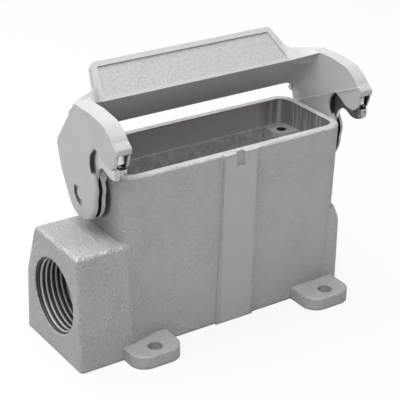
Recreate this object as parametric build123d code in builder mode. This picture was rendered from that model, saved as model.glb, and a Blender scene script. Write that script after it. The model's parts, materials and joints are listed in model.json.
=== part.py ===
import os
from math import acos, atan2, cos, hypot, radians, sin, tan

from build123d import *

os.makedirs("parts", exist_ok=True)

# Surface-mounting connector housing with a side cable entry and one locking lever.
# The origin is the middle of the four mounting holes, on the base plane.
# +X runs along the housing away from the cable entry, +Y to the back, +Z up.

# Tower that takes the contact insert
rim_height = 57.0
tower_offset_x = 1.0
tower_length = 79.1
tower_width = 31.1
tower_corner_r = 5.5
tower_end_draft = 0.55
tower_side_draft = 1.6
rim_edge = 0.4
rim_wall = 2.4
cavity_corner_r = 3.4
cavity_draft = 1.0
floor_thickness = 3.0

# Guide rib on the front long wall, with the coding notch at its top
rib_width_top = 11.8
rib_width_base = 13.6
rib_proud = 0.8
notch_width = 3.1
notch_height = 4.7
notch_depth = 1.5

# Fixing bosses for the insert, placed from the tower's outer walls and its rim
screw_end_inset = 6.55
screw_side_inset = 7.55
insert_seat_depth = 8.4
boss_height = 15.0
boss_wall = 2.4
insert_screw_hole_r = 1.65
insert_screw_hole_depth = 10.0

# Machined pad on each long inner wall, between the bosses and just below their tops
pad_drop_below_boss = 0.2
pad_end_gap = 0.75
pad_proud = 0.5
pad_height = 24.0

# Cable entry block, standing out from the tower's end wall
entry_reach = 15.65
entry_face_draft = 0.8
entry_arm_gap = 4.1
entry_front_base = 16.8
entry_front_top = 14.7
entry_back_base = 16.9
entry_back_knee = (16.3, 20.0)
entry_back_top = 10.8
entry_knee_r = 8.0
entry_front_edge_r = 1.2
entry_back_edge_r = 2.2
entry_edge_r = 1.0
entry_root_depth = 1.55
entry_blend_run = 14.0
entry_blend_inset = 3.2

# Threaded cable entry
entry_axis_y = -0.4
entry_axis_below_middle = 0.05
thread_root_r = 11.75
thread_mouth_r = 12.3
thread_length = 15.5
passage_r = 10.2

# Foot under the end away from the cable entry
foot_reach = 3.25
foot_height = 21.0
foot_slope_top = 28.5
foot_corner_r = 4.5
foot_shoulder_r = 2.0

# Mounting tabs
tab_spacing_x = 63.4
tab_spacing_y = 41.6
tab_width = 16.4
tab_end_margin = 4.4
tab_thickness = 4.3
tab_corner_r = 5.0
tab_edge = 0.45
tab_hole_r = 2.25

# Pivot pins
pivot_drop = 8.5
pin_r = 2.5
pin_fit = 0.06
pin_end_gap = 0.35
pin_edge = 0.3
pin_seat_floor = 0.8

# Lever arms, outwards from the tower's end walls
arm_gap = 0.45
arm_thickness = 4.8
leg_relief = 1.2
outer_cheek = 1.3
arm_edge = 0.5
end_r = 8.1

# Outline of an arm, as (toward the back, up) from the pivot axis
top_back = (2.7, 27.2)
heel = (14.0, 11.9)
heel_r = 4.0
haunch = (11.7, 3.9)
haunch_r = 12.0
leg_front = ((-8.7, 3.6), (-7.6, 6.9), (-5.7, 10.4), (-5.9, 13.5))
apex = (-8.6, 16.7)
hook_root = (-10.6, 16.1)
hook_inner = (-14.2, 13.9)
hook_tip = (-17.6, 13.5)
hook_tip_front = (-19.6, 15.0)
nose = (-21.0, 18.8)
brow = (-18.6, 23.0)
brow_top = (-14.0, 26.2)
top_front = (-6.5, 27.2)
nose_r = 4.0
brow_r = 8.0
top_front_r = 4.0
top_back_r = 1.2
tip_r = 0.8

# Thinner leg beside the tower, and the fine step across the inner cheek
leg_top = 7.0
leg_ramp = 1.2
step_front = (-21.0, 22.4)
step_back = (16.0, 5.4)
step_depth = 0.25

# Taper across the back of the inner cheek, under the crossbar's ends
taper_front = 6.5
taper_back = 12.8
taper_top = 12.6

# Crossbar and handle, also from the pivot axis
bar_top = (5.2, 24.1)
bar_lean = 32.1
bar_height = 12.0
bar_thickness = 1.5
bar_overlap = 0.6
arch_inset = 0.9
bar_corner_r = 5.0
gusset_r = 3.6
gusset_rise = 6.0
gusset_top = (-0.4, 26.6)
handle_lean = 50.5
handle_length = 13.2
handle_thickness = 2.4
handle_root_inset = 10.4
handle_taper = 2.4
flare_start = 4.8
flare_slope = 0.12
shoulder_on_arm = (gusset_top, (2.6, 27.1), (5.2, 23.4), (0.6, 22.6))
handle_corner_r = 1.6
panel_depth = 0.5
panel_side_border = 1.5
panel_top_border = 1.7
panel_bottom_border = 1.1

# Arc-shaped window in each outer cheek, round the pivot
window_inner_r = 2.0
window_outer_r = 3.6
window_from = -85.0
window_to = 25.0

# End window in each arm's nose, where the latch plate's lug shows
nose_window_border = 0.8
nose_window_width = 3.0
nose_window_top = 18.9
nose_window_depth = 2.4

# Latch plates, with outlines from the pivot axis
plate_thickness = 1.0
slot_clearance = 0.1
plate_eye_r = 5.4
plate_leg_front = ((-6.6, 4.6), (-7.6, 8.4), (-8.9, 10.6))
plate_notch = (-10.6, 11.5)
plate_claw = ((-12.2, 11.2), (-14.4, 10.2), (-16.7, 10.1))
plate_tip = (-19.6, 11.3)
plate_tip_front = (-20.3, 12.0)
plate_tip_top = (-20.3, 14.5)
plate_nose = (-18.9, 15.5)
plate_nose_top = (-18.9, 18.6)
plate_back = ((-14.0, 21.2), (-6.0, 22.6), (2.0, 21.0), (6.2, 16.0), (7.0, 8.0))
plate_back_r = 5.0
slot_outline = ((-12.0, -5.9), (6.0, -5.9), (8.2, 5.0), (8.8, 13.5), (4.4, 21.8), (-5.0, 24.0), (-14.5, 22.2),
                (-18.6, 19.6), (-18.6, 9.0), (-12.0, 9.0))
fold_reach = 2.3
lug_reach = 1.3

# Derived sizes of the housing
tower_half = tower_length / 2
pivot_z = rim_height - pivot_drop
insert_screw_spacing_x = tower_length - 2 * screw_end_inset
insert_screw_spacing_y = tower_width - 2 * screw_side_inset
cavity_length = tower_length - 2 * rim_wall
cavity_width = tower_width - 2 * rim_wall
cavity_depth = rim_height - floor_thickness
base_length = tower_length - 2 * rim_height * tan(radians(tower_end_draft))
base_half = tower_width / 2 - rim_height * tan(radians(tower_side_draft))
entry_face_x = tower_offset_x - tower_half - entry_reach
entry_root_x = tower_offset_x - tower_half + entry_root_depth
entry_blend_x = entry_root_x + entry_blend_run
entry_height = pivot_z - end_r - entry_arm_gap
entry_top_x = entry_face_x + entry_height * tan(radians(entry_face_draft))
entry_axis_z = entry_height / 2 - entry_axis_below_middle
foot_end_x = tower_offset_x + tower_half + foot_reach
tab_reach = tab_spacing_y / 2 + tab_end_margin
foot_slope_run = (rim_height - foot_slope_top) * tan(radians(tower_end_draft))
boss_top = rim_height - insert_seat_depth
boss_radius = insert_screw_hole_r + boss_wall
boss_block = 2 * screw_side_inset
pad_top = boss_top - pad_drop_below_boss
pad_length = insert_screw_spacing_x - 2 * (boss_radius + pad_end_gap)
pad_drop = (rim_height - pad_top) * tan(radians(cavity_draft))
mouth_reach = thread_mouth_r - thread_root_r
tower_middle = Location((tower_offset_x, 0, 0))
inner_end_at_pivot = cavity_length / 2 - pivot_drop * tan(radians(cavity_draft))
pin_inner = inner_end_at_pivot + pin_seat_floor

# Derived sizes of the lever and its plates, from the tower's middle plane
arm_inner = tower_half + arm_gap
arm_outer = arm_inner + arm_thickness
leg_inner = arm_inner + leg_relief
arch_half_width = arm_inner + arch_inset
handle_root_half_width = arm_outer - handle_root_inset
handle_half_width = handle_root_half_width - handle_taper
nose_window_outer = arm_outer - nose_window_border
nose_window_inner = nose_window_outer - nose_window_width
slot_outer = arm_outer - outer_cheek
slot_inner = slot_outer - plate_thickness - slot_clearance
plate_outer = slot_outer - slot_clearance / 2
handle_foot = arm_outer - arm_edge
bar_half = arch_half_width + bar_overlap
flare_top = (bar_top[0] + flare_start * sin(radians(handle_lean)),
             bar_top[1] + flare_start * cos(radians(handle_lean)))
handle_drop = (handle_thickness * cos(radians(handle_lean)), -handle_thickness * sin(radians(handle_lean)))
gusset_run = gusset_top[0] - bar_top[0]
gusset_step = gusset_top[1] - bar_top[1]
panel_root = handle_root_half_width - panel_side_border
panel_end = handle_half_width - panel_side_border
fold_y = plate_tip_front[0] + plate_thickness / 2
fold_middle = (plate_tip_front[1] + plate_tip_top[1]) / 2
lug_middle = (plate_nose[1] + plate_nose_top[1]) / 2


def at_pivot(x):
    """Plane across the part at x from the tower's middle, with its origin on the pivot axis."""
    return Plane(origin=(tower_offset_x + x, 0, pivot_z), x_dir=(0, 1, 0), z_dir=(1, 0, 0))


def end_tangent(corner, radius):
    """Point where the line from the corner touches the arm's round end on its lower back side."""
    reach = hypot(*corner)
    turn = atan2(corner[1], corner[0]) - acos(radius / reach)
    return (radius * cos(turn), radius * sin(turn))


def block_section(x, inset):
    """Section of the cable entry block at x, with its sides moved in by the inset."""
    front_top = (inset - entry_front_top, entry_height)
    back_top = (entry_back_top - inset, entry_height)
    knee = (entry_back_knee[0] - inset, entry_back_knee[1])
    with BuildSketch(Plane.YZ.offset(x)) as section:
        with BuildLine():
            Polyline((inset - entry_front_base, 0), (entry_back_base - inset, 0), knee, back_top, front_top,
                     close=True)
        make_face()
        fillet(vertices().sort_by_distance(knee)[0], entry_knee_r)
        fillet(vertices().sort_by_distance(back_top)[0], entry_back_edge_r)
        fillet(vertices().sort_by_distance(front_top)[0], entry_front_edge_r)
    return section.sketch


leg_plane = Plane(origin=(tower_offset_x, 0, pivot_z), x_dir=(1, 0, 0), z_dir=(0, -1, 0))
bar_plane = Plane(origin=(tower_offset_x, bar_top[0], pivot_z + bar_top[1]), x_dir=(1, 0, 0),
                  z_dir=(0, cos(radians(bar_lean)), sin(radians(bar_lean))))
gusset_plane = Plane(origin=bar_plane.origin, x_dir=(1, 0, 0),
                     z_dir=(0, sin(radians(bar_lean)), -cos(radians(bar_lean))))
handle_plane = Plane(origin=(tower_offset_x, bar_top[0], pivot_z + bar_top[1]), x_dir=(1, 0, 0),
                     z_dir=(0, -cos(radians(handle_lean)), sin(radians(handle_lean))))

# Outline of a latch plate: an eye round the pivot, a leg, the notch and the claw
with BuildSketch() as plate_outline:
    with BuildLine():
        Spline((-plate_eye_r, 0), *plate_leg_front, plate_notch, *plate_claw, plate_tip,
               tangents=((0, 1), (-1, 1)))
        Polyline(plate_tip, plate_tip_front, plate_tip_top, plate_nose, plate_nose_top, *plate_back,
                 (plate_eye_r, 0))
        ThreePointArc((plate_eye_r, 0), (0, -plate_eye_r), (-plate_eye_r, 0))
    make_face()
    for corner in plate_back:
        fillet(vertices().sort_by_distance(corner)[0], plate_back_r)

with BuildPart() as housing:
    # Tower, drafted inwards from the rim down to the base
    with BuildSketch(Plane.YZ.offset(tower_offset_x)):
        with BuildLine():
            Polyline((-base_half, 0), (base_half, 0), (tower_width / 2, rim_height),
                     (-tower_width / 2, rim_height), close=True)
        make_face()
    extrude(amount=tower_half, both=True)
    with BuildSketch(Plane.XZ):
        with BuildLine():
            Polyline((tower_offset_x - base_length / 2, 0), (tower_offset_x + base_length / 2, 0),
                     (tower_offset_x + tower_half, rim_height), (tower_offset_x - tower_half, rim_height),
                     close=True)
        make_face()
    extrude(amount=tower_width, both=True, mode=Mode.INTERSECT)
    upright_edges = housing.edges().filter_by_position(Axis.Z, floor_thickness, rim_height - floor_thickness)
    fillet(upright_edges, tower_corner_r)
    chamfer(housing.faces().sort_by(Axis.Z)[-1].edges(), rim_edge)

    # Guide rib on the front long wall
    with BuildPart(mode=Mode.PRIVATE) as rib:
        with BuildSketch(Plane.YZ.offset(tower_offset_x)):
            with BuildLine():
                Polyline((-base_half - rib_proud, 0), (-base_half / 2, 0), (-base_half / 2, rim_height),
                         (-tower_width / 2 - rib_proud, rim_height), close=True)
            make_face()
        extrude(amount=rib_width_base, both=True)
        with BuildSketch(Plane.XZ):
            with BuildLine():
                Polyline((tower_offset_x - rib_width_base / 2, 0), (tower_offset_x + rib_width_base / 2, 0),
                         (tower_offset_x + rib_width_top / 2, rim_height),
                         (tower_offset_x - rib_width_top / 2, rim_height), close=True)
            make_face()
        extrude(amount=tower_width, both=True, mode=Mode.INTERSECT)
    add(rib.part)

    # Cable entry block, running out into the long walls
    with BuildPart(mode=Mode.PRIVATE) as entry:
        extrude(block_section(entry_face_x, 0), amount=entry_root_x - entry_face_x)
        with BuildSketch(Plane.XZ):
            with BuildLine():
                Polyline((entry_face_x, 0), (entry_top_x, entry_height), (entry_root_x, entry_height),
                         (entry_root_x, 0), close=True)
            make_face()
        extrude(amount=tower_width, both=True, mode=Mode.INTERSECT)
        end_face = entry.faces().sort_by(Axis.X)[0]
        fillet([e for e in end_face.edges() if e.center().Z > entry_edge_r], entry_edge_r)
        loft([block_section(entry_root_x, 0), block_section(entry_blend_x, entry_blend_inset)], ruled=True)
    add(entry.part)

    # Foot under the far end
    with BuildPart(mode=Mode.PRIVATE) as foot:
        with BuildSketch(Plane.XZ):
            with BuildLine():
                Polyline((tower_offset_x, 0), (foot_end_x, 0), (foot_end_x, foot_height),
                         (tower_offset_x + tower_half - foot_slope_run, foot_slope_top),
                         (tower_offset_x, foot_slope_top), close=True)
            make_face()
        extrude(amount=base_half, both=True)
        fillet(foot.edges().filter_by(Axis.Z).sort_by(Axis.X)[-2:], foot_corner_r)
        fillet([e for e in foot.edges() if abs(e.center().Z - foot_height) < foot_corner_r / 2
                and e.center().X > tower_offset_x + tower_half - foot_corner_r], foot_shoulder_r)
    add(foot.part)

    # Mounting tabs
    with BuildSketch():
        for side in (-1, 1):
            with Locations((side * tab_spacing_x / 2, 0)):
                RectangleRounded(tab_width, 2 * tab_reach, tab_corner_r)
    extrude(amount=tab_thickness)
    chamfer([e for e in housing.edges() if abs(e.center().Z - tab_thickness) < tab_edge
             and abs(e.center().Y) > entry_front_base + tab_edge], tab_edge)
    with GridLocations(tab_spacing_x, tab_spacing_y, 2, 2):
        with Locations((0, 0, tab_thickness)):
            Hole(tab_hole_r, tab_thickness)

    # Cavity, open at the rim
    with BuildSketch(Plane.XY.offset(rim_height)):
        with Locations(tower_middle):
            RectangleRounded(cavity_length, cavity_width, cavity_corner_r)
    extrude(amount=-cavity_depth, taper=cavity_draft, mode=Mode.SUBTRACT)

    # Corner bosses that take the insert's fixing screws
    with BuildPart(mode=Mode.PRIVATE) as bosses:
        with BuildSketch(Plane.XY.offset(boss_top)):
            with Locations(tower_middle):
                with GridLocations(insert_screw_spacing_x + boss_block, insert_screw_spacing_y + boss_block,
                                   2, 2):
                    RectangleRounded(boss_block + 2 * boss_radius, boss_block + 2 * boss_radius, boss_radius)
        extrude(amount=-boss_height)
        with BuildSketch(Plane.XY.offset(rim_height)):
            with Locations(tower_middle):
                RectangleRounded(tower_length - rim_wall, tower_width - rim_wall, cavity_corner_r)
        extrude(amount=-cavity_depth, taper=tower_side_draft, mode=Mode.INTERSECT)
    add(bosses.part)
    with Locations(Location((tower_offset_x, 0, boss_top))):
        with GridLocations(insert_screw_spacing_x, insert_screw_spacing_y, 2, 2):
            Hole(insert_screw_hole_r, insert_screw_hole_depth)

    # Machined pads below the insert's seat
    with BuildPart(mode=Mode.PRIVATE) as pads:
        with Locations((tower_offset_x, 0, pad_top - pad_height / 2)):
            Box(pad_length, cavity_width + rim_wall, pad_height)
            Box(pad_length, cavity_width - 2 * (pad_proud + pad_drop), pad_height, mode=Mode.SUBTRACT)
    add(pads.part)

    # Coding notch in the rib
    with Locations((tower_offset_x, -tower_width / 2 - rib_proud, rim_height)):
        Box(notch_width, 2 * notch_depth, 2 * notch_height, mode=Mode.SUBTRACT)

    # Cable entry, opened into the cavity
    with BuildSketch(Plane.YZ.offset(entry_face_x)):
        with Locations((entry_axis_y, entry_axis_z)):
            Circle(thread_root_r)
    extrude(amount=thread_length, mode=Mode.SUBTRACT)
    with BuildSketch(Plane.YZ.offset(entry_face_x + thread_length)):
        with Locations((entry_axis_y, entry_axis_z)):
            Circle(passage_r)
    extrude(amount=tower_offset_x - inner_end_at_pivot - entry_face_x - thread_length + rim_wall,
            mode=Mode.SUBTRACT)
    mouth = Plane(origin=(entry_face_x, entry_axis_y, entry_axis_z), z_dir=(1, 0, 0))
    with Locations(mouth.location):
        Cone(thread_mouth_r + mouth_reach, thread_root_r, 2 * mouth_reach,
             align=(Align.CENTER, Align.CENTER, Align.CENTER), mode=Mode.SUBTRACT)

    # Blind seats of the pivot pins
    for side in (-1, 1):
        with BuildSketch(at_pivot(side * pin_inner)):
            Circle(pin_r)
        extrude(amount=side * tower_half, mode=Mode.SUBTRACT)
housing.part.label = "housing"
export_step(housing.part, "parts/housing.step")

with BuildPart() as locking_lever:
    # One arm, as a single outline through its thickness
    with BuildSketch(at_pivot(arm_inner)):
        with BuildLine():
            back_flat = end_tangent(haunch, end_r)
            ThreePointArc(back_flat, (0, -end_r), (-end_r, 0))
            Spline((-end_r, 0), *leg_front, apex, tangents=((0, 1), (-1, 1)))
            Polyline(apex, hook_root, hook_inner, hook_tip, hook_tip_front, nose, brow, brow_top, top_front,
                     top_back, heel, haunch, back_flat)
        make_face()
        for corner, radius in ((heel, heel_r), (nose, nose_r), (brow, brow_r), (brow_top, brow_r),
                               (top_front, top_front_r), (top_back, top_back_r), (haunch, haunch_r),
                               (hook_root, tip_r), (hook_inner, tip_r), (hook_tip, tip_r),
                               (hook_tip_front, tip_r)):
            fillet(vertices().sort_by_distance(corner)[0], radius)
    extrude(amount=arm_outer - arm_inner)
    chamfer(locking_lever.faces().sort_by(Axis.X)[-1].edges(), arm_edge)

    # Thinner leg beside the tower
    with BuildSketch(leg_plane):
        with BuildLine():
            Polyline((arm_inner - leg_ramp, -arm_outer), (leg_inner, -arm_outer),
                     (leg_inner, leg_top - leg_ramp), (arm_inner, leg_top), (arm_inner - leg_ramp, leg_top),
                     close=True)
        make_face()
    extrude(amount=tower_width, both=True, mode=Mode.SUBTRACT)

    # Fine step across the inner cheek
    with BuildSketch(at_pivot(arm_inner)):
        with BuildLine():
            Polyline(step_front, step_back, (step_back[0], -arm_outer), (step_front[0], -arm_outer),
                     close=True)
        make_face()
    extrude(amount=step_depth, mode=Mode.SUBTRACT)

    # Taper under the crossbar's end, out to the arch's half width
    with BuildSketch(Plane((tower_offset_x, 0, pivot_z + taper_top))):
        with BuildLine():
            Polyline((arm_inner - leg_ramp, taper_front), (arm_inner, taper_front),
                     (arch_half_width, taper_back), (arch_half_width, tower_width),
                     (arm_inner - leg_ramp, tower_width), close=True)
        make_face()
    extrude(amount=-taper_top - end_r, mode=Mode.SUBTRACT)

    # Second arm
    mirror(about=Plane.YZ.offset(tower_offset_x))

    # Crossbar between the arms, with rounded lower corners
    with BuildSketch(bar_plane):
        with BuildLine():
            Polyline((-bar_half, 0), (bar_half, 0), (bar_half, bar_height + bar_corner_r),
                     (arch_half_width, bar_height + bar_corner_r), (arch_half_width, bar_height),
                     (-arch_half_width, bar_height), (-arch_half_width, bar_height + bar_corner_r),
                     (-bar_half, bar_height + bar_corner_r), close=True)
        make_face()
        for side in (-1, 1):
            fillet(vertices().sort_by_distance((side * arch_half_width, bar_height))[0], bar_corner_r)
    extrude(amount=bar_thickness)

    # Handle, leaning back from the crossbar's top and flaring out to the arms
    with BuildSketch(handle_plane):
        with BuildLine():
            Polyline((-handle_foot, 0), (handle_foot, 0))
            Spline((handle_foot, 0), (handle_root_half_width, flare_start),
                   tangents=((-1, flare_slope), (-flare_slope, 1)))
            Polyline((handle_root_half_width, flare_start), (handle_half_width, handle_length),
                     (-handle_half_width, handle_length), (-handle_root_half_width, flare_start))
            Spline((-handle_root_half_width, flare_start), (-handle_foot, 0),
                   tangents=((-flare_slope, -1), (-1, -flare_slope)))
        make_face()
        for side in (-1, 1):
            fillet(vertices().sort_by_distance((side * handle_half_width, handle_length))[0], handle_corner_r)
    extrude(amount=-handle_thickness)

    # Shoulders between the handle's foot and the tops of the arms
    for side in (-1, 1):
        with BuildPart(mode=Mode.PRIVATE) as shoulder:
            with BuildSketch(at_pivot(side * (handle_root_half_width - bar_overlap))):
                with BuildLine():
                    Polyline(bar_top, flare_top,
                             (flare_top[0] + handle_drop[0], flare_top[1] + handle_drop[1]),
                             (bar_top[0] + handle_drop[0], bar_top[1] + handle_drop[1]), close=True)
                make_face()
            with BuildSketch(at_pivot(side * handle_foot)):
                with BuildLine():
                    Polyline(*shoulder_on_arm, close=True)
                make_face()
            loft(ruled=True)
        add(shoulder.part)

    # Recessed panel on the handle
    with BuildSketch(handle_plane):
        with BuildLine():
            Polyline((-panel_root, panel_bottom_border), (panel_root, panel_bottom_border),
                     (panel_end, handle_length - panel_top_border),
                     (-panel_end, handle_length - panel_top_border), close=True)
        make_face()
    extrude(amount=-panel_depth, mode=Mode.SUBTRACT)

    # Hollow-curved gussets where the crossbar meets the arms, cut level with the handle's foot
    with BuildPart(mode=Mode.PRIVATE) as gussets:
        with BuildSketch(gusset_plane.offset(-gusset_rise)):
            for side in (-1, 1):
                with BuildLine():
                    Polyline((side * (arm_inner - gusset_r), 0),
                             (side * (arm_inner - gusset_r), -bar_overlap),
                             (side * bar_half, -bar_overlap), (side * bar_half, gusset_r),
                             (side * arm_inner, gusset_r))
                    CenterArc((side * (arm_inner - gusset_r), gusset_r), gusset_r, -90, side * 90)
                make_face()
        extrude(amount=bar_height + gusset_rise)
        with BuildSketch(at_pivot(-arm_outer)):
            with BuildLine():
                Polyline((bar_top[0] - gusset_run, bar_top[1] - gusset_step),
                         (gusset_top[0] + gusset_run, gusset_top[1] + gusset_step),
                         (gusset_top[0] + gusset_run, arm_outer), (bar_top[0] - gusset_run, arm_outer),
                         close=True)
            make_face()
        extrude(amount=2 * arm_outer, mode=Mode.SUBTRACT)
    add(gussets.part)

    for side in (-1, 1):
        # Slot for the latch plate, open at the front of the leg
        with BuildSketch(at_pivot(side * slot_outer)):
            with BuildLine():
                Polyline(*slot_outline, close=True)
            make_face()
        extrude(amount=-side * (slot_outer - slot_inner), mode=Mode.SUBTRACT)

        # Bore for the pivot pin, blind behind the outer cheek
        with BuildSketch(at_pivot(side * (slot_outer + pin_end_gap))):
            Circle(pin_r + pin_fit)
        extrude(amount=-side * arm_outer / 4, mode=Mode.SUBTRACT)

        # Arc-shaped window in the outer cheek
        with BuildSketch(at_pivot(side * slot_outer)):
            with BuildLine():
                inner = CenterArc((0, 0), window_inner_r, window_from, window_to - window_from)
                outer = CenterArc((0, 0), window_outer_r, window_from, window_to - window_from)
                Line(inner @ 0, outer @ 0)
                Line(inner @ 1, outer @ 1)
            make_face()
        extrude(amount=side * arm_outer / 4, mode=Mode.SUBTRACT)

        # End window in the nose
        with BuildSketch(at_pivot(side * nose_window_inner)):
            with BuildLine():
                Polyline((hook_tip_front[0] - nose_window_depth, 0),
                         (hook_tip_front[0] + nose_window_depth, 0),
                         (hook_tip_front[0] + nose_window_depth, nose_window_top),
                         (hook_tip_front[0] - nose_window_depth, nose_window_top), close=True)
            make_face()
        extrude(amount=side * (nose_window_outer - nose_window_inner), mode=Mode.SUBTRACT)
locking_lever.part.label = "locking_lever"
export_step(locking_lever.part, "parts/locking_lever.step")

# Latch plates, with a folded claw end and a bent lug behind the end window
for side, name in ((-1, "left"), (1, "right")):
    with BuildPart() as latch_plate:
        with BuildSketch(at_pivot(side * plate_outer)):
            add(plate_outline.sketch_local)
        extrude(amount=-side * plate_thickness)
        with Locations((tower_offset_x + side * (plate_outer - fold_reach / 2), fold_y,
                        pivot_z + fold_middle)):
            Box(fold_reach, plate_thickness, plate_tip_top[1] - plate_tip_front[1])
        with Locations((tower_offset_x + side * (plate_outer - (lug_reach + plate_thickness) / 2),
                        plate_nose[0] + plate_thickness / 2, pivot_z + lug_middle)):
            Box(lug_reach + plate_thickness, plate_thickness, plate_nose_top[1] - plate_nose[1])
        with BuildSketch(at_pivot(0)):
            Circle(pin_r + pin_fit)
        extrude(amount=side * arm_outer, mode=Mode.SUBTRACT)
    latch_plate.part.label = "latch_plate_" + name
    export_step(latch_plate.part, "parts/latch_plate_" + name + ".step")

    with BuildPart() as pivot_pin:
        with BuildSketch(at_pivot(side * pin_inner)):
            Circle(pin_r)
        extrude(amount=side * (plate_outer - pin_inner))
        chamfer(pivot_pin.edges().sort_by(Axis.X)[-1 if side > 0 else 0], pin_edge)
    pivot_pin.part.label = "pivot_pin_" + name
    export_step(pivot_pin.part, "parts/pivot_pin_" + name + ".step")
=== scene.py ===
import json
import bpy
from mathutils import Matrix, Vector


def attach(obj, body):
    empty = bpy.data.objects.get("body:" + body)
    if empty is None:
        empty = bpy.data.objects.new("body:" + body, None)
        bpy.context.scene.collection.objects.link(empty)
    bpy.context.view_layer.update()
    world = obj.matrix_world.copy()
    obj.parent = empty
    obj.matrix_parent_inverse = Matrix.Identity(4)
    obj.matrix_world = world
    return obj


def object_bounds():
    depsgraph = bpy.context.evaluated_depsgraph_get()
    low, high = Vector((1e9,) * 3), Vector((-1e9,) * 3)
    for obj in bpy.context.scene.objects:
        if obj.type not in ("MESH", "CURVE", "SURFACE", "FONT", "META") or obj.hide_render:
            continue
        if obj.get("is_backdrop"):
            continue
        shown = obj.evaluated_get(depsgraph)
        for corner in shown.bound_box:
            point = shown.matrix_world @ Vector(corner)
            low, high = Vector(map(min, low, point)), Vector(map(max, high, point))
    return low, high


bl_info = {
    "name": "Rectangular connector housing",
    "version": (1, 0, 0),
    "blender": (4, 5, 0),
    "location": "3D View > Sidebar > Connector",
    "description": "Finishes, entry thread, lever blends and studio stage for a connector housing",
    "category": "Object",
}

from math import atan2, cos, radians, sin, tan

import bpy
import numpy as np

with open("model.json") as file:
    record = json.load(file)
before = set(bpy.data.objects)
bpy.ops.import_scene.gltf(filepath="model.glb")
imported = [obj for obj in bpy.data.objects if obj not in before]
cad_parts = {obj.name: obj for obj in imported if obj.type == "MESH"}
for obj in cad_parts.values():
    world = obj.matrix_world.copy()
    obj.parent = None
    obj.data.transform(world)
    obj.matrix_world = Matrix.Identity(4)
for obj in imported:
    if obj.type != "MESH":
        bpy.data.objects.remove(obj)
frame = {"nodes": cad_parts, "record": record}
cad_low, cad_high = (np.array(corner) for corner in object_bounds())
entry_mount = next(m for m in frame["record"]["mounts"] if m["name"] == "cable_entry")
MM = 0.001

# Places on the part, in millimetres
MIDDLE_X = 1.0  # of the tower, the insert and the lever
RIM_Z = 57.0
BOSS_Z = 48.6
SCREW_X, SCREW_Y = 33.0, 8.0  # insert screws, from the tower's middle
ENTRY_X, ENTRY_Y, ENTRY_Z = (value / MM for value in entry_mount["pos_m"])
ENTRY_R = entry_mount["dims"]["r_mm"]
BLOCK_EDGE_Z = 35.85  # upper edges of the entry's block
PIVOT_Z = 48.5  # axis of the pins, which lies at y 0

# Places on the lever, as millimetres (toward the back, up) from the pivot
HANDLE_FOOT = (5.2, 24.1)
HANDLE_LEAN = radians(50.5)
PARTING_FRONT = (-21.0, 22.4)
PARTING_ANGLE = atan2(17, 37)
SIDES = {"left": -1, "right": 1}

# Fixed colours
# Edge wear, partly a painted highlight
WORN_AND_HIGHLIT_EDGE = (0.78, 0.78, 0.76, 1)
# Painted reflection in bright upright streaks
REFLECTION_STREAK = (0.52, 0.50, 0.48, 1)
# Painted shade in the tapped holes
SHADE_IN_SCREW_HOLE = (0.03, 0.028, 0.027, 1)
# Painted shade in the arc window of an arm
SHADE_IN_WINDOW = (0.11, 0.10, 0.088, 1)
DEEP_SHADE = (0.012, 0.011, 0.010, 1)
# Painted highlight along the mould's seam
PARTING_HIGHLIGHT = (0.72, 0.72, 0.70, 1)
CUT_METAL = (0.66, 0.65, 0.63, 1)

# Camera and lamps, in metres and degrees; a lamp has a place, a size and the name of its power
CAMERA_PLACE = (-0.20745, -0.30333, 0.21060)
CAMERA_TURN = (64.486, -0.715, -33.710)
LAMPS = {
    "top_lamp": ((-0.10, 0.05, 0.75), 0.9, "top_light"),
    "back_lamp": ((-0.18, 0.44, 0.63), 0.8, "back_light"),
    "front_lamp": ((-0.28, -0.38, 0.66), 0.8, "front_light"),
}


# Sizes and colours that a user would change

class HousingFinish(bpy.types.PropertyGroup):
    """Powder coat of the die-cast housing, and the bare metal inside it."""

    coat: bpy.props.FloatVectorProperty(
        name="Coat", description="Colour of the powder coat",
        subtype="COLOR", size=4, min=0, max=1, default=(0.396, 0.390, 0.381, 1))
    inner: bpy.props.FloatVectorProperty(
        name="Inner walls", description="Colour of the cavity's walls above the insert's seat",
        subtype="COLOR", size=4, min=0, max=1, default=(0.285, 0.262, 0.262, 1))
    bare: bpy.props.FloatVectorProperty(
        name="Bare metal", description="Colour of the raw casting below the insert's seat",
        subtype="COLOR", size=4, min=0, max=1, default=(0.56, 0.54, 0.53, 1))
    machined: bpy.props.FloatVectorProperty(
        name="Machined metal", description="Colour of cut faces",
        subtype="COLOR", size=4, min=0, max=1, default=(0.62, 0.61, 0.59, 1))
    peel_size: bpy.props.FloatProperty(
        name="Orange peel", description="Width of one dimple of the coat",
        unit="LENGTH", default=0.72 * MM)
    peel_depth: bpy.props.FloatProperty(
        name="Peel depth", description="Depth of the coat's dimples",
        unit="LENGTH", default=0.62 * MM)


class LeverFinish(bpy.types.PropertyGroup):
    """Moulded plastic of the locking lever."""

    plastic: bpy.props.FloatVectorProperty(
        name="Plastic", description="Colour of the lever",
        subtype="COLOR", size=4, min=0, max=1, default=(0.420, 0.420, 0.410, 1))
    grain_size: bpy.props.FloatProperty(
        name="Panel grain", description="Width of one grain on the handle's panel",
        unit="LENGTH", default=0.7 * MM)
    grain_depth: bpy.props.FloatProperty(
        name="Grain depth", description="Depth of the panel's grain",
        unit="LENGTH", default=0.09 * MM)


class SteelFinish(bpy.types.PropertyGroup):
    """Stamped stainless of the latch plates, and turned steel of the pins."""

    steel: bpy.props.FloatVectorProperty(
        name="Steel", description="Colour of the stainless plates",
        subtype="COLOR", size=4, min=0, max=1, default=(0.62, 0.61, 0.59, 1))
    pin: bpy.props.FloatVectorProperty(
        name="Pin", description="Colour of the pivot pins",
        subtype="COLOR", size=4, min=0, max=1, default=(0.55, 0.54, 0.52, 1))
    roughness: bpy.props.FloatProperty(
        name="Roughness", description="Roughness of the stamped faces",
        subtype="FACTOR", min=0, max=1, default=0.3)


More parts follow.
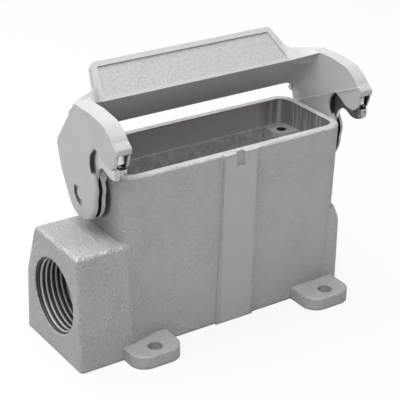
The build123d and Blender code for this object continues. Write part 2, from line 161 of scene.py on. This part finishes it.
class EntryThread(bpy.types.PropertyGroup):
    """Thread of the cable entry, cut into the wall of the plain bore."""

    root_radius: bpy.props.FloatProperty(
        name="Root radius", description="Radius at the bottom of the grooves",
        unit="LENGTH", default=ENTRY_R * MM)
    depth: bpy.props.FloatProperty(
        name="Depth", description="Height of the thread's ridges",
        unit="LENGTH", default=0.85 * MM)
    pitch: bpy.props.FloatProperty(
        name="Pitch", description="Distance from one turn to the next",
        unit="LENGTH", default=1.65 * MM)
    length: bpy.props.FloatProperty(
        name="Length", description="Length of the threaded wall",
        unit="LENGTH", default=entry_mount["dims"]["length_mm"] * MM)
    wall: bpy.props.FloatProperty(
        name="Wall", description="How far the sleeve's back lies inside the casting",
        unit="LENGTH", default=0.2 * MM)
    steps_round: bpy.props.IntProperty(
        name="Steps round", description="Divisions of one turn", default=160)
    steps_pitch: bpy.props.IntProperty(
        name="Steps per pitch", description="Divisions of one pitch", default=14)


class StudioStage(bpy.types.PropertyGroup):
    """Floor, lamps and camera."""

    floor: bpy.props.FloatVectorProperty(
        name="Floor", description="Colour of the floor",
        subtype="COLOR", size=4, min=0, max=1, default=(0.62, 0.62, 0.62, 1))
    whiteness: bpy.props.FloatProperty(
        name="Whiteness", description="Share of plain white in what the camera sees of the floor",
        subtype="FACTOR", min=0, max=1, default=0.86)
    ambient: bpy.props.FloatProperty(
        name="Ambient", description="Strength of the even light",
        subtype="FACTOR", min=0, max=1, default=0.03)
    top_light: bpy.props.FloatProperty(
        name="Top light", description="Power of the lamp above",
        unit="POWER", min=0, default=6.6)
    back_light: bpy.props.FloatProperty(
        name="Back light", description="Power of the lamp above and behind",
        unit="POWER", min=0, default=4.6)
    front_light: bpy.props.FloatProperty(
        name="Front light", description="Power of the lamp above and in front",
        unit="POWER", min=0, default=4.5)
    lens: bpy.props.FloatProperty(
        name="Lens", description="Focal length of the camera",
        subtype="DISTANCE_CAMERA", default=119.3)


# Shader maths

class Value:
    """A number, colour or shader in a node tree; Python arithmetic on it adds Math nodes."""

    def __init__(self, nodes, socket):
        self.nodes = nodes
        self.socket = socket

    def math(self, operation, *values):
        return self.nodes.node("ShaderNodeMath", {"operation": operation}, dict(enumerate(values)))

    def __add__(self, other):
        return self.math("ADD", self, other)

    def __radd__(self, other):
        return self.math("ADD", other, self)

    def __sub__(self, other):
        return self.math("SUBTRACT", self, other)

    def __rsub__(self, other):
        return self.math("SUBTRACT", other, self)

    def __mul__(self, other):
        return self.math("MULTIPLY", self, other)

    def __rmul__(self, other):
        return self.math("MULTIPLY", other, self)

    def __pow__(self, other):
        return self.math("POWER", self, other)

    def __abs__(self):
        return self.math("ABSOLUTE", self)

    def above(self, edge, soft):
        """Rises smoothly from 0 to 1 over the width soft, centred on edge."""
        return self.nodes.contrast(self, edge - soft / 2, edge + soft / 2)

    def below(self, edge, soft):
        """Falls smoothly from 1 to 0 over the width soft, centred on edge."""
        return 1 - self.above(edge, soft)

    def between(self, low, high, soft):
        """1 from low to high and 0 outside, with soft edges."""
        return self.above(low, soft) * self.below(high, soft)

    def dim(self, mask, share):
        """Less the given share of itself where the mask is 1."""
        return self * (1 - share * mask)


class Nodes:
    """The node tree of a material or a world."""

    def __init__(self, tree):
        self.tree = tree

    def node(self, kind, settings, values, outlet=0):
        """Adds one node: its settings first, then the numbers or links of its sockets."""
        new = self.tree.nodes.new(kind)
        for name, setting in settings.items():
            setattr(new, name, setting)
        for name, value in values.items():
            self.feed(new.inputs[name], value)
        return Value(self, new.outputs[outlet])

    def feed(self, socket, value):
        """Links a value to a socket, or writes a plain number or colour in it."""
        if isinstance(value, Value):
            self.tree.links.new(value.socket, socket)
        else:
            socket.default_value = value

    def contrast(self, value, low, high):
        """Stretches the range from low to high smoothly over 0 to 1 and holds it there."""
        return self.node("ShaderNodeMapRange", {"interpolation_type": "SMOOTHSTEP"},
                         {"Value": value, "From Min": low, "From Max": high})

    def most(self, first, *others):
        """The greatest of several values."""
        for other in others:
            first = first.math("MAXIMUM", first, other)
        return first

    def mix_into(self, output, share, first, second):
        """Feeds the output node of that name with two shaders, mixed by a share."""
        mix = self.node("ShaderNodeMixShader", {}, {0: share, 1: first, 2: second})
        self.feed(self.tree.nodes[output].inputs["Surface"], mix)


class Finish(Nodes):
    """A material with one Principled shader, read in millimetres of Object coordinates."""

    def __init__(self, name):
        self.material = bpy.data.materials.new(name)
        self.material.use_nodes = True
        super().__init__(self.material.node_tree)
        self.shader = self.tree.nodes["Principled BSDF"]
        metres = self.node("ShaderNodeTexCoord", {}, {}, outlet="Object")
        self.place = self.node("ShaderNodeVectorMath", {"operation": "SCALE"},
                               {"Vector": metres, "Scale": 1 / MM})
        apart = self.node("ShaderNodeSeparateXYZ", {}, {0: self.place}).socket.node
        self.x, self.y, self.z = (Value(self, outlet) for outlet in apart.outputs)

    def noise(self, size, detail=2.0, roughness=0.5, stretch=(1, 1, 1)):
        """Noise with features of a size in millimetres, drawn out along the axes by stretch."""
        drawn = self.node("ShaderNodeVectorMath", {"operation": "MULTIPLY"},
                          {0: self.place, 1: tuple(1 / s for s in stretch)})
        return self.node(
            "ShaderNodeTexNoise", {"normalize": True},
            {"Vector": drawn, "Scale": 1 / size, "Detail": detail, "Roughness": roughness})

    def layers(self, colour, *laid):
        """Colour with others laid over it in turn, each given with its share from 0 to 1."""
        for over, share in laid:
            colour = self.node("ShaderNodeMix", {"data_type": "RGBA", "blend_type": "MIX"},
                               {0: share, 6: colour, 7: over}, outlet=2)
        return colour

    def shade(self, colour, factor):
        """Colour with all its channels multiplied by a number."""
        return self.node("ShaderNodeVectorMath", {"operation": "SCALE"},
                         {0: tuple(colour)[:3], "Scale": factor})

    def box(self, low, high, soft):
        """1 inside a box given in millimetres, and 0 outside."""
        across = self.x.between(low[0], high[0], soft) * self.y.between(low[1], high[1], soft)
        return across * self.z.between(low[2], high[2], soft)

    def far_from_line(self, first, first_at, second, second_at):
        """Distance in millimetres from a line along the third axis."""
        return ((first - first_at) ** 2 + (second - second_at) ** 2) ** 0.5

    def relief(self, height, distance):
        """Bump from a height between 0 and 1, where 1 stands for the distance in metres."""
        bump = self.node("ShaderNodeBump", {},
                         {"Height": height, "Distance": distance, "Strength": 1.0})
        self.feed(self.shader.inputs["Normal"], bump)

    def set(self, **values):
        """Sets or links the shader's own sockets, with underscores for spaces."""
        for name, value in values.items():
            title = name.replace("_", " ").title().replace("Ior", "IOR")
            self.feed(self.shader.inputs[title], value)
        return self.material


def powder_coated_casting(sizes):
    """Grey powder coat with orange peel, bare cast walls inside, cut faces at bosses and entry."""
    f = Finish("powder_coated_casting")
    out = abs(f.x - MIDDLE_X)

    # Places: the inside, the bosses and their holes, the entry's bore, rib, tabs, and behind arms
    cavity = f.box((-36.6, -13.6, 2.0), (38.6, 13.6, RIM_Z - 0.3), 0.2)
    below_bosses = cavity * f.z.below(BOSS_Z - 0.18, 0.08)
    boss_top = cavity * f.z.between(BOSS_Z - 0.1, BOSS_Z + 0.1, 0.05)
    from_screw = f.far_from_line(out, SCREW_X, abs(f.y), SCREW_Y)
    screw_hole = from_screw.below(2.1, 0.15) * below_bosses
    from_entry = f.far_from_line(f.y, ENTRY_Y, f.z, ENTRY_Z)
    bore = from_entry.below(ENTRY_R + 0.2, 0.1) * f.x.below(-36.5, 0.2) * f.x.above(ENTRY_X, 0.1)
    rib = f.box((-4.8, -20.0, 0.5), (6.8, -14.0, RIM_Z - 0.5), 0.3)
    on_tab = abs(f.y).above(16.4, 0.3) * f.z.below(7.0, 0.5)
    # Where the arms cover the end walls round the pivot, which get painted shade
    shade_behind_arm = f.far_from_line(f.y, 0.0, f.z, PIVOT_Z).below(8.2, 1.2) * out.above(38.6, 0.3)

    # Coat: faint clouds and specks, painted shade behind the arms, lighter on the rim and to the
    # far end
    cloud = f.noise(9.0, detail=3)
    speck = f.noise(0.55, detail=3, roughness=0.65)
    tone = (0.94 + 0.06 * cloud + 0.06 * speck).dim(shade_behind_arm, 0.8)
    tone = tone * (1 + 0.14 * f.z.above(RIM_Z - 0.5, 0.3)) * (0.97 + 0.07 * f.x.above(-44.0, 40.0))
    coat = f.shade(sizes.coat, tone.dim(rib, 0.05).dim(on_tab, 0.12))

    # Bright spots of wear and painted highlight on the upper edges of the entry's block, and on
    # three cast lines on its top
    wear_and_glints = f.contrast(f.noise(0.7, detail=3, roughness=0.7), 0.46, 0.6)
    front_edge = f.far_from_line(f.y, -14.35, f.z, BLOCK_EDGE_Z).below(0.62, 0.5)
    end_edge = f.far_from_line(f.x, ENTRY_X + 0.35, f.z, BLOCK_EDGE_Z).below(0.6, 0.5)
    on_block = f.x.below(-38.6, 0.5) * f.z.above(33.0, 1.0)
    worn_and_highlit = f.most(front_edge, end_edge * 0.5) * on_block * wear_and_glints
    lines = f.most(f.x.between(-43.7, -43.45, 0.15), f.x.between(-41.6, -41.4, 0.15),
                   f.x.between(-40.3, -40.15, 0.15))
    lines = lines * f.y.between(-11.8, 5.7, 0.3) * f.z.above(BLOCK_EDGE_Z + 0.05, 0.2) * wear_and_glints
    coat = f.layers(coat, (WORN_AND_HIGHLIT_EDGE, f.most(worn_and_highlit * 0.8, lines * 0.5)))

    # Raw casting: dull blotches, with painted reflections as bright upright streaks toward the ends
    patch = f.contrast(f.noise(3.2, detail=5, roughness=0.7), 0.4, 0.62)
    grain = f.noise(0.6, detail=3, roughness=0.7, stretch=(1, 1, 2.5))
    reflection_streak = f.contrast(f.noise(1.0, detail=2, stretch=(1, 1, 30)), 0.5, 0.66)
    reflection_streak = reflection_streak * out.above(32.0, 4.0)
    bare = f.shade(sizes.bare, 0.6 + 0.24 * patch + 0.5 * (grain - 0.5) + 0.4 * reflection_streak)
    # Inner walls with painted shade toward the cavity's far end
    inner = f.shade(sizes.inner, (0.93 + 0.14 * cloud).dim(f.x.above(30.0, 5.0), 0.45))
    inner = f.layers(inner, (REFLECTION_STREAK, reflection_streak * 0.5))
    # Over the coat lie the inner walls, bare casting, cut boss tops, painted shade in the screw
    # holes and the cut bore
    colour = f.layers(coat, (inner, cavity), (bare, below_bosses),
                      (f.shade(sizes.machined, 0.46 + 0.3 * grain), boss_top),
                      (SHADE_IN_SCREW_HOLE, screw_hole), (f.shade(sizes.machined, 0.3), bore))

    # Relief: dimples that are deepest by the entry, faint on rib and tabs, and the casting's grain
    dimples = f.contrast(f.noise(sizes.peel_size / MM, detail=2.5, roughness=0.6), 0.2, 0.8)
    coarse = 0.7 + 0.3 * f.contrast(f.noise(14.0, detail=2), 0.4, 0.6)
    deepest = f.most(1 - 0.4 * f.x.above(-30.0, 12.0), 0.9 * f.z.below(5.0, 9.0),
                     0.7 * f.z.above(40.0, 10.0))
    fine = f.noise(0.42, detail=2.0, roughness=0.6)
    coated = f.z.above(0.4, 0.4).dim(rib, 0.8).dim(on_tab, 0.5) * (1 - cavity) * (1 - bore)
    height = (dimples * coarse * deepest + 0.4 * fine) * coated + 0.2 * grain * cavity
    f.relief(height, sizes.peel_depth)
    return f.set(base_color=colour, roughness=0.44 + 0.1 * speck - 0.1 * cavity,
                 metallic=f.most(below_bosses * 0.3, boss_top * 0.5, bore * 0.6),
                 specular_ior_level=0.5)


def moulded_plastic(sizes):
    """Satin plastic with a grained, recessed panel on the handle, and painted shade in the arms'
    openings.
    """
    f = Finish("moulded_plastic")
    out = abs(f.x - MIDDLE_X)

    # Panel, found by the distances along the handle from its foot and proud of it
    back = f.y - HANDLE_FOOT[0]
    up = f.z - (PIVOT_Z + HANDLE_FOOT[1])
    proud = up * sin(HANDLE_LEAN) - back * cos(HANDLE_LEAN)
    along = up * cos(HANDLE_LEAN) + back * sin(HANDLE_LEAN)
    past_end = out - (33.1 - 0.25 * along)
    panel = proud.between(-0.7, -0.3, 0.2) * along.between(1.0, 11.6, 0.2)
    panel = panel * past_end.below(0.0, 0.2)

    # Painted shade in the openings: the slot of the latch plate, the hook's throat, the nose's
    # hollow, the arc window
    slot = out.between(42.38, 43.52, 0.02) * f.y.between(-19.0, 8.7, 0.1)
    slot = slot * f.z.between(42.7, 63.5, 0.3)
    throat = f.most(out.between(43.4, 44.5, 0.1) * f.y.between(-9.3, -5.0, 0.2),
                    out.between(41.2, 43.0, 0.05) * f.y.between(-8.4, -5.0, 0.2))
    throat = throat * f.z.between(57.0, 65.5, 1.0)
    behind_nose = f.y + 19.6 + (f.z - 63.5) * 0.37
    hollow = out.between(40.5, 44.42, 0.05) * behind_nose.above(0.3, 0.2) * f.y.below(-16.9, 0.2)
    hollow = hollow * f.z.between(62.5, 67.4, 0.1)
    window = f.far_from_line(f.y, 0.0, f.z, PIVOT_Z).between(1.8, 3.85, 0.15) * f.y.above(-0.5, 0.4)
    window = window * f.z.below(PIVOT_Z + 1.8, 0.4) * out.above(43.4, 0.05)

    # Thin painted highlight on the inner cheek along the line where the two halves of the mould met
    below_line = ((PIVOT_Z + PARTING_FRONT[1] - f.z) * cos(PARTING_ANGLE)
                  - (f.y - PARTING_FRONT[0]) * sin(PARTING_ANGLE))
    parting_highlight = below_line.between(-0.1, 0.16, 0.06) * out.below(40.6, 0.2)

    grain = f.contrast(f.noise(sizes.grain_size / MM, detail=2.5, roughness=0.6), 0.3, 0.7)
    skin = f.noise(0.9, detail=3, roughness=0.6)
    colour = f.layers(f.shade(sizes.plastic, 0.97 + 0.06 * f.noise(7.0, detail=3)),
                      (f.shade(sizes.plastic, 0.82 + 0.2 * grain), panel),
                      (SHADE_IN_WINDOW, window * 0.9), (DEEP_SHADE, f.most(slot, throat, hollow)),
                      (PARTING_HIGHLIGHT, parting_highlight * 0.9))
    f.relief(grain * (0.06 + 0.94 * panel) + 0.3 * skin, sizes.grain_depth)
    return f.set(base_color=colour, roughness=0.46 + 0.1 * panel, specular_ior_level=0.45)


def stamped_stainless(sizes):
    """Stainless strip with fine rolling lines and blotchy in front; painted shade on its inner face
    and under the lug, a painted highlight on the lug, and darker by the pivot.
    """
    f = Finish("stamped_stainless")
    lines = f.noise(0.16, detail=3, roughness=0.6, stretch=(1, 1, 14))
    cloud = f.noise(1.6, detail=3)
    blotch = f.contrast(f.noise(0.8, detail=3, roughness=0.6), 0.35, 0.65)
    inward = abs(f.x - MIDDLE_X).below(42.6, 0.1)
    at_pivot = f.far_from_line(f.y, 0.0, f.z, PIVOT_Z).below(5.2, 0.6)
    front = f.y.below(-17.6, 0.6)
    claw = front * f.z.below(62.6, 0.4)
    gap = front * f.z.between(62.9, 63.5, 0.15)
    lug = front * f.z.above(64.0, 0.3)
    # Tone: painted shade on the inner face, darker by the pivot; blotches on the claw, painted
    # shade in the gap and a painted highlight on the lug
    tone = (0.80 + 0.2 * lines).dim(inward * (1 - front), 0.62).dim(at_pivot, 0.7)
    tone = tone.dim(claw, 0.1 + 0.45 * blotch).dim(gap, 0.93) * (1 + 0.4 * lug)
    f.relief(lines, 0.006 * MM)
    return f.set(base_color=f.shade(sizes.steel, tone), metallic=1.0,
                 roughness=sizes.roughness + 0.16 * cloud)


def turned_steel(sizes):
    """Steel of a turned pin, with rings round its axis."""
    f = Finish("turned_steel")
    rings = f.noise(0.2, detail=2, stretch=(1, 30, 30))
    f.relief(rings, 0.004 * MM)
    return f.set(base_color=f.shade(sizes.pin, 0.9 + 0.2 * rings), metallic=1.0, roughness=0.32)


def cut_thread(sizes):
    """Bright cut metal on the crests of the thread, with painted shade in its grooves and deeper
    in.
    """
    f = Finish("cut_thread")
    reach = f.far_from_line(f.y, ENTRY_Y, f.z, ENTRY_Z)
    groove = reach.above((sizes.root_radius - 0.62 * sizes.depth) / MM, 0.45)
    flecks = f.noise(0.35, detail=3, roughness=0.6)
    # Painted shade in the grooves and deeper in
    tone = (0.5 + 0.35 * flecks).dim(groove, 0.93).dim(f.x.above(-46.0, 14.0), 0.45)
    f.relief(flecks, 0.03 * MM)
    return f.set(base_color=f.shade(CUT_METAL, tone), metallic=0.5,
                 roughness=0.38 + 0.12 * flecks)


def give(node, material):
    """Puts one material on every slot of a CAD node."""
    slots = frame["nodes"][node].data.materials
    if not slots:
        slots.append(material)
    for number in range(len(slots)):
        slots[number] = material


# New pieces

def new_piece(name, points, faces, smooth=False):
    """Object at the origin from an array of points and lists of each face's corners."""
    mesh = bpy.data.meshes.new(name)
    mesh.from_pydata(points.reshape(-1, 3).tolist(), [], faces)
    mesh.polygons.foreach_set("use_smooth", np.full(len(mesh.polygons), smooth))
    mesh.update()
    piece = bpy.data.objects.new(name, mesh)
    bpy.context.scene.collection.objects.link(piece)
    return piece


def ruled_through(name, rings):
    """Closed body through rings of points, an array of rings by corners by coordinates."""
    here = np.arange(rings.shape[0] * rings.shape[1]).reshape(rings.shape[:2])
    after = np.roll(here, -1, axis=1)
    sides = np.stack([here[:-1], after[:-1], after[1:], here[1:]], axis=-1).reshape(-1, 4)
    ends = [here[0, ::-1].tolist(), here[-1].tolist()]
    return new_piece(name, rings, sides.tolist() + ends)


def on_arm(side, out, outlines):
    """Rings of points on one arm, in metres of the frame.

    The outlines are an array of rings by corners by (toward the back, up) from the pivot, and out
    is each corner's distance from the tower's middle, all in millimetres. The rings run backwards
    on the left, so that the faces of both sides point outwards.
    """
    out = np.broadcast_to(out, outlines.shape[:2])
    rings = np.dstack([MIDDLE_X + side * out, outlines + (0, PIVOT_Z)]) * MM
    return rings if side > 0 else rings[:, ::-1]


def slide(start, end, share):
    """Corners on the straight way from start to end, one for each share of it."""
    return start + np.subtract(end, start) * share[:, None]


def shoulder_saddle():
    """Hollow surface from the handle's foot up to the top of an arm.

    Four edges run outwards in straight lines, except that the front one rises with the power 1.3
    of the distance along it.
    """
    along = np.linspace(0, 1, 13)
    edges = [slide((5.25, 24.05), (-0.9, 27.23), along ** 1.3),
             slide((8.85, 27.1), (2.9, 27.23), along),
             slide((9.5, 26.0), (3.6, 25.8), along),
             slide((6.3, 23.3), (2.0, 24.2), along)]
    return 33.7 + 6.5 * along[:, None], np.stack(edges, axis=1)


def handle_fillet():
    """Concave web in the corner between an end of the handle and the shoulder.

    Its front and back edges leave the handle's face with the square of the distance outwards and
    meet the shoulder's. A wall climbs the handle's end above the back edge, and falls with the
    square of the distance left.
    """
    along = np.linspace(0, 1, 12)
    bend = along ** 2
    climb = 3.8 * (1 - along) ** 2
    level = np.zeros_like(along)

    # Edges as (up the handle, proud of its face)
    front = slide((0, -0.04), (-0.79, 1.82), bend)
    back = slide((4.73, -0.04), (2.99, 1.47), bend)
    top = back + np.stack([climb, level], axis=-1)
    edges = np.stack([front, back, top - np.stack([level, 0.4 * climb * bend], axis=-1),
                      top - (0, 1.7), back - (0, 2.0), front + (1.2, -1.8)], axis=1)
    turn = np.array([(sin(HANDLE_LEAN), cos(HANDLE_LEAN)), (-cos(HANDLE_LEAN), sin(HANDLE_LEAN))])
    return 32.5 + 3.7 * along[:, None], edges @ turn + HANDLE_FOOT


def back_fairing():
    """Long wedge under the shoulder, which runs it out down the back edge of an arm.

    Its lip and the line it aims at are straight. The foot drops from the lip toward that line with
    the power 1.5 of the distance, and lies on the line after the first 0.32 of the shoulder.
    """
    start = 0.3
    along = np.linspace(start, 1, 12)
    drop = 0.04 + 0.96 * np.minimum(1, (along - start) / 0.32) ** 1.5
    lip = slide((10.35, 25.3), (5.2, 23.4), along)
    foot = slide(lip, slide((9.6, 19.6), (8.2, 19.8), along), drop)
    edges = [lip - (3.0, 1.0), foot - (1.6, 0), foot, lip]
    return 33.8 + 10.4 * along[:, None], np.stack(edges, axis=1)


def nose_cap():
    """Squared corner of an arm's nose: one outline across the arm, drawn in at the outer edge."""
    outline = np.array([(-18.9, 22.3), (-20.7, 20.95), (-21.0, 20.65), (-21.1, 20.3), (-21.0, 19.3),
                        (-20.9, 18.95), (-19.8, 18.95), (-18.4, 21.4)])
    drawn_in = outline.copy()
    drawn_in[:6] += (0.3, -0.4)
    return np.array([[40.02], [44.35], [44.78]]), np.stack([outline, outline, drawn_in])


def cheek_ramp(*stations):
    """Thin wedge below the parting line of an inner cheek, which runs its step out to nothing.

    Each station is a distance toward the back and the ramp's width there, square to the line.
    """
    back, width = np.array(stations).T
    fall = tan(PARTING_ANGLE) * (back - PARTING_FRONT[0])
    line = np.stack([back, PARTING_FRONT[1] - fall], axis=-1)
    foot = line - width[:, None] * (sin(PARTING_ANGLE), cos(PARTING_ANGLE))
    return np.array([40.6, 40.6, 40.28, 40.01]), np.stack([line, foot, foot, line], axis=1)


def thread_sleeve(sizes):
    """Thread as a closed sleeve round the entry's axis.

    The inner radius is the root's less a rounded triangle wave of the distance along the axis,
    counted in pitches, less the turn round it, so that the ridge climbs one pitch a turn. A cone at
    45 degrees cuts the first ridge. The outer radius is constant and lies inside the casting.
    """
    lead = 0.05 * MM  # the sleeve starts this far outside the entry's face
    face, across, up = entry_mount["pos_m"]
    along = np.linspace(0, sizes.length - lead,
                        int(sizes.length / sizes.pitch * sizes.steps_pitch))
    turn = np.linspace(0, 2 * np.pi, sizes.steps_round, endpoint=False)
    s, t = np.meshgrid(along, turn, indexing="ij")
    wave = np.abs(2 * np.mod(s / sizes.pitch - t / (2 * np.pi), 1) - 1)
    ridge = np.clip((wave - 0.14) / 0.72, 0, 1)
    ridge = ridge * ridge * (3 - 2 * ridge)
    inner = np.maximum(sizes.root_radius - sizes.depth * ridge, sizes.root_radius - s)
    outer = np.full_like(inner, sizes.root_radius + sizes.wall)
    radius = np.concatenate([inner, outer[::-1]])
    place = np.concatenate([s, s[::-1]]) + (face - lead)
    angle = np.concatenate([t, t])
    points = np.stack([place, across + radius * np.cos(angle), up + radius * np.sin(angle)], -1)

    # The grid closes on itself along the sleeve and round it
    here = np.arange(radius.size).reshape(radius.shape)
    after = np.roll(here, -1, axis=1)
    faces = np.stack([after, np.roll(after, -1, axis=0), np.roll(here, -1, axis=0), here], axis=-1)
    return new_piece("entry_thread", points, faces.reshape(-1, 4).tolist(), smooth=True)


# Stage

def lay_floor(stage):
    """Wide square floor that looks white to the camera and keeps a share of its shadows."""
    reach = 3.0
    corners = np.array([(-reach, -reach, 0), (reach, -reach, 0), (reach, reach, 0),
                        (-reach, reach, 0)])
    floor = new_piece("floor", corners, [(0, 1, 2, 3)])
    material = bpy.data.materials.new("floor")
    material.use_nodes = True
    material.node_tree.nodes.remove(material.node_tree.nodes["Principled BSDF"])
    nodes = Nodes(material.node_tree)
    matt = nodes.node("ShaderNodeBsdfDiffuse", {}, {"Color": stage.floor})
    white = nodes.node("ShaderNodeEmission", {}, {})
    to_camera = nodes.node("ShaderNodeLightPath", {}, {}, outlet="Is Camera Ray")
    nodes.mix_into("Material Output", to_camera * stage.whiteness, matt, white)
    floor.data.materials.append(material)
    floor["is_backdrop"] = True


def light_world(stage):
    """Faint even light, with a plain pale surround for the camera and in reflections."""
    world = bpy.data.worlds.new("studio")
    world.use_nodes = True
    world.node_tree.nodes.remove(world.node_tree.nodes["Background"])
    nodes = Nodes(world.node_tree)
    even = nodes.node("ShaderNodeBackground", {},
                      {"Color": (1, 1, 1, 1), "Strength": stage.ambient})
    pale = nodes.node("ShaderNodeBackground", {}, {})
    seen = nodes.most(*(nodes.node("ShaderNodeLightPath", {}, {}, outlet=ray)
                        for ray in ("Is Camera Ray", "Is Glossy Ray")))
    nodes.mix_into("World Output", seen, even, pale)
    bpy.context.scene.world = world


def hang_lamp(name, place, size, power):
    """Square soft lamp that faces the middle of the part."""
    data = bpy.data.lights.new(name, "AREA")
    data.size = size
    data.energy = power
    lamp = bpy.data.objects.new(name, data)
    lamp.location = place
    x, y, z = (cad_low + cad_high) / 2 - np.array(place)
    lamp.rotation_euler = (atan2(np.hypot(x, y), -z), 0, atan2(y, x) - np.pi / 2)
    bpy.context.scene.collection.objects.link(lamp)


# Operators

class CONNECTOR_OT_housing(bpy.types.Operator):
    """Finish the die-cast housing"""

    bl_idname = "connector.housing"
    bl_label = "Housing"

    def execute(self, context):
        give("housing", powder_coated_casting(context.scene.housing_finish))
        return {"FINISHED"}


class CONNECTOR_OT_lever(bpy.types.Operator):
    """Finish the locking lever and add its blends"""

    bl_idname = "connector.lever"
    bl_label = "Locking lever"

    def execute(self, context):
        plastic = moulded_plastic(context.scene.lever_finish)
        give("locking_lever", plastic)
        front_ramp = cheek_ramp((-19.4, 1.5), (-11.5, 1.3), (-9.2, 0.1))
        back_ramp = cheek_ramp((-8.0, 0.1), (-6.5, 0.7), (-3.0, 2.2), (6.3, 2.2))
        for side_name, side in SIDES.items():
            for name, blend in (("shoulder_saddle_" + side_name, shoulder_saddle()),
                                ("handle_fillet_" + side_name, handle_fillet()),
                                ("back_fairing_" + side_name, back_fairing()),
                                ("nose_cap_" + side_name, nose_cap()),
                                ("cheek_ramp", front_ramp), ("cheek_ramp", back_ramp)):
                piece = ruled_through(name, on_arm(side, *blend))
                piece.data.materials.append(plastic)
                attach(piece, "lever")
        return {"FINISHED"}


class CONNECTOR_OT_steel(bpy.types.Operator):
    """Finish the latch plates and the pivot pins"""

    bl_idname = "connector.steel"
    bl_label = "Latch plates and pins"

    def execute(self, context):
        plate = stamped_stainless(context.scene.steel_finish)
        pin = turned_steel(context.scene.steel_finish)
        for side_name in SIDES:
            give("latch_plate_" + side_name, plate)
            give("pivot_pin_" + side_name, pin)
        return {"FINISHED"}


class CONNECTOR_OT_thread(bpy.types.Operator):
    """Cut the thread of the cable entry"""

    bl_idname = "connector.thread"
    bl_label = "Entry thread"

    def execute(self, context):
        sizes = context.scene.entry_thread
        piece = thread_sleeve(sizes)
        piece.data.materials.append(cut_thread(sizes))
        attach(piece, "housing")
        return {"FINISHED"}


class CONNECTOR_OT_stage(bpy.types.Operator):
    """Set the floor, the lamps and the camera"""

    bl_idname = "connector.stage"
    bl_label = "Stage"

    def execute(self, context):
        stage = context.scene.studio_stage
        lay_floor(stage)
        light_world(stage)
        for name, (place, size, power) in LAMPS.items():
            hang_lamp(name, place, size, getattr(stage, power))
        camera = bpy.data.objects.new("camera", bpy.data.cameras.new("camera"))
        camera.data.lens = stage.lens
        camera.data.sensor_width = 36
        camera.data.clip_start = 0.01
        camera.location = CAMERA_PLACE
        camera.rotation_euler = [radians(angle) for angle in CAMERA_TURN]
        context.scene.collection.objects.link(camera)
        context.scene.camera = camera
        context.scene.view_settings.view_transform = "Standard"
        return {"FINISHED"}


class CONNECTOR_PT_panel(bpy.types.Panel):
    """Pieces of the connector housing"""

    bl_idname = "CONNECTOR_PT_panel"
    bl_label = "Connector housing"
    bl_space_type = "VIEW_3D"
    bl_region_type = "UI"
    bl_category = "Connector"

    def draw(self, context):
        for operator in OPERATORS:
            self.layout.operator(operator.bl_idname)


SETTINGS = {"housing_finish": HousingFinish, "lever_finish": LeverFinish,
            "steel_finish": SteelFinish, "entry_thread": EntryThread, "studio_stage": StudioStage}
OPERATORS = (CONNECTOR_OT_housing, CONNECTOR_OT_lever, CONNECTOR_OT_steel, CONNECTOR_OT_thread,
             CONNECTOR_OT_stage)


def register():
    for group in SETTINGS.values():
        bpy.utils.register_class(group)
    for name, group in SETTINGS.items():
        setattr(bpy.types.Scene, name, bpy.props.PointerProperty(type=group))
    for operator in OPERATORS:
        bpy.utils.register_class(operator)
    bpy.utils.register_class(CONNECTOR_PT_panel)


def unregister():
    bpy.utils.unregister_class(CONNECTOR_PT_panel)
    for operator in reversed(OPERATORS):
        bpy.utils.unregister_class(operator)
    for name, group in SETTINGS.items():
        delattr(bpy.types.Scene, name)
        bpy.utils.unregister_class(group)


def main():
    register()
    for operator in OPERATORS:
        group, name = operator.bl_idname.split(".")
        getattr(getattr(bpy.ops, group), name)()


if __name__ == "__main__":
    main()
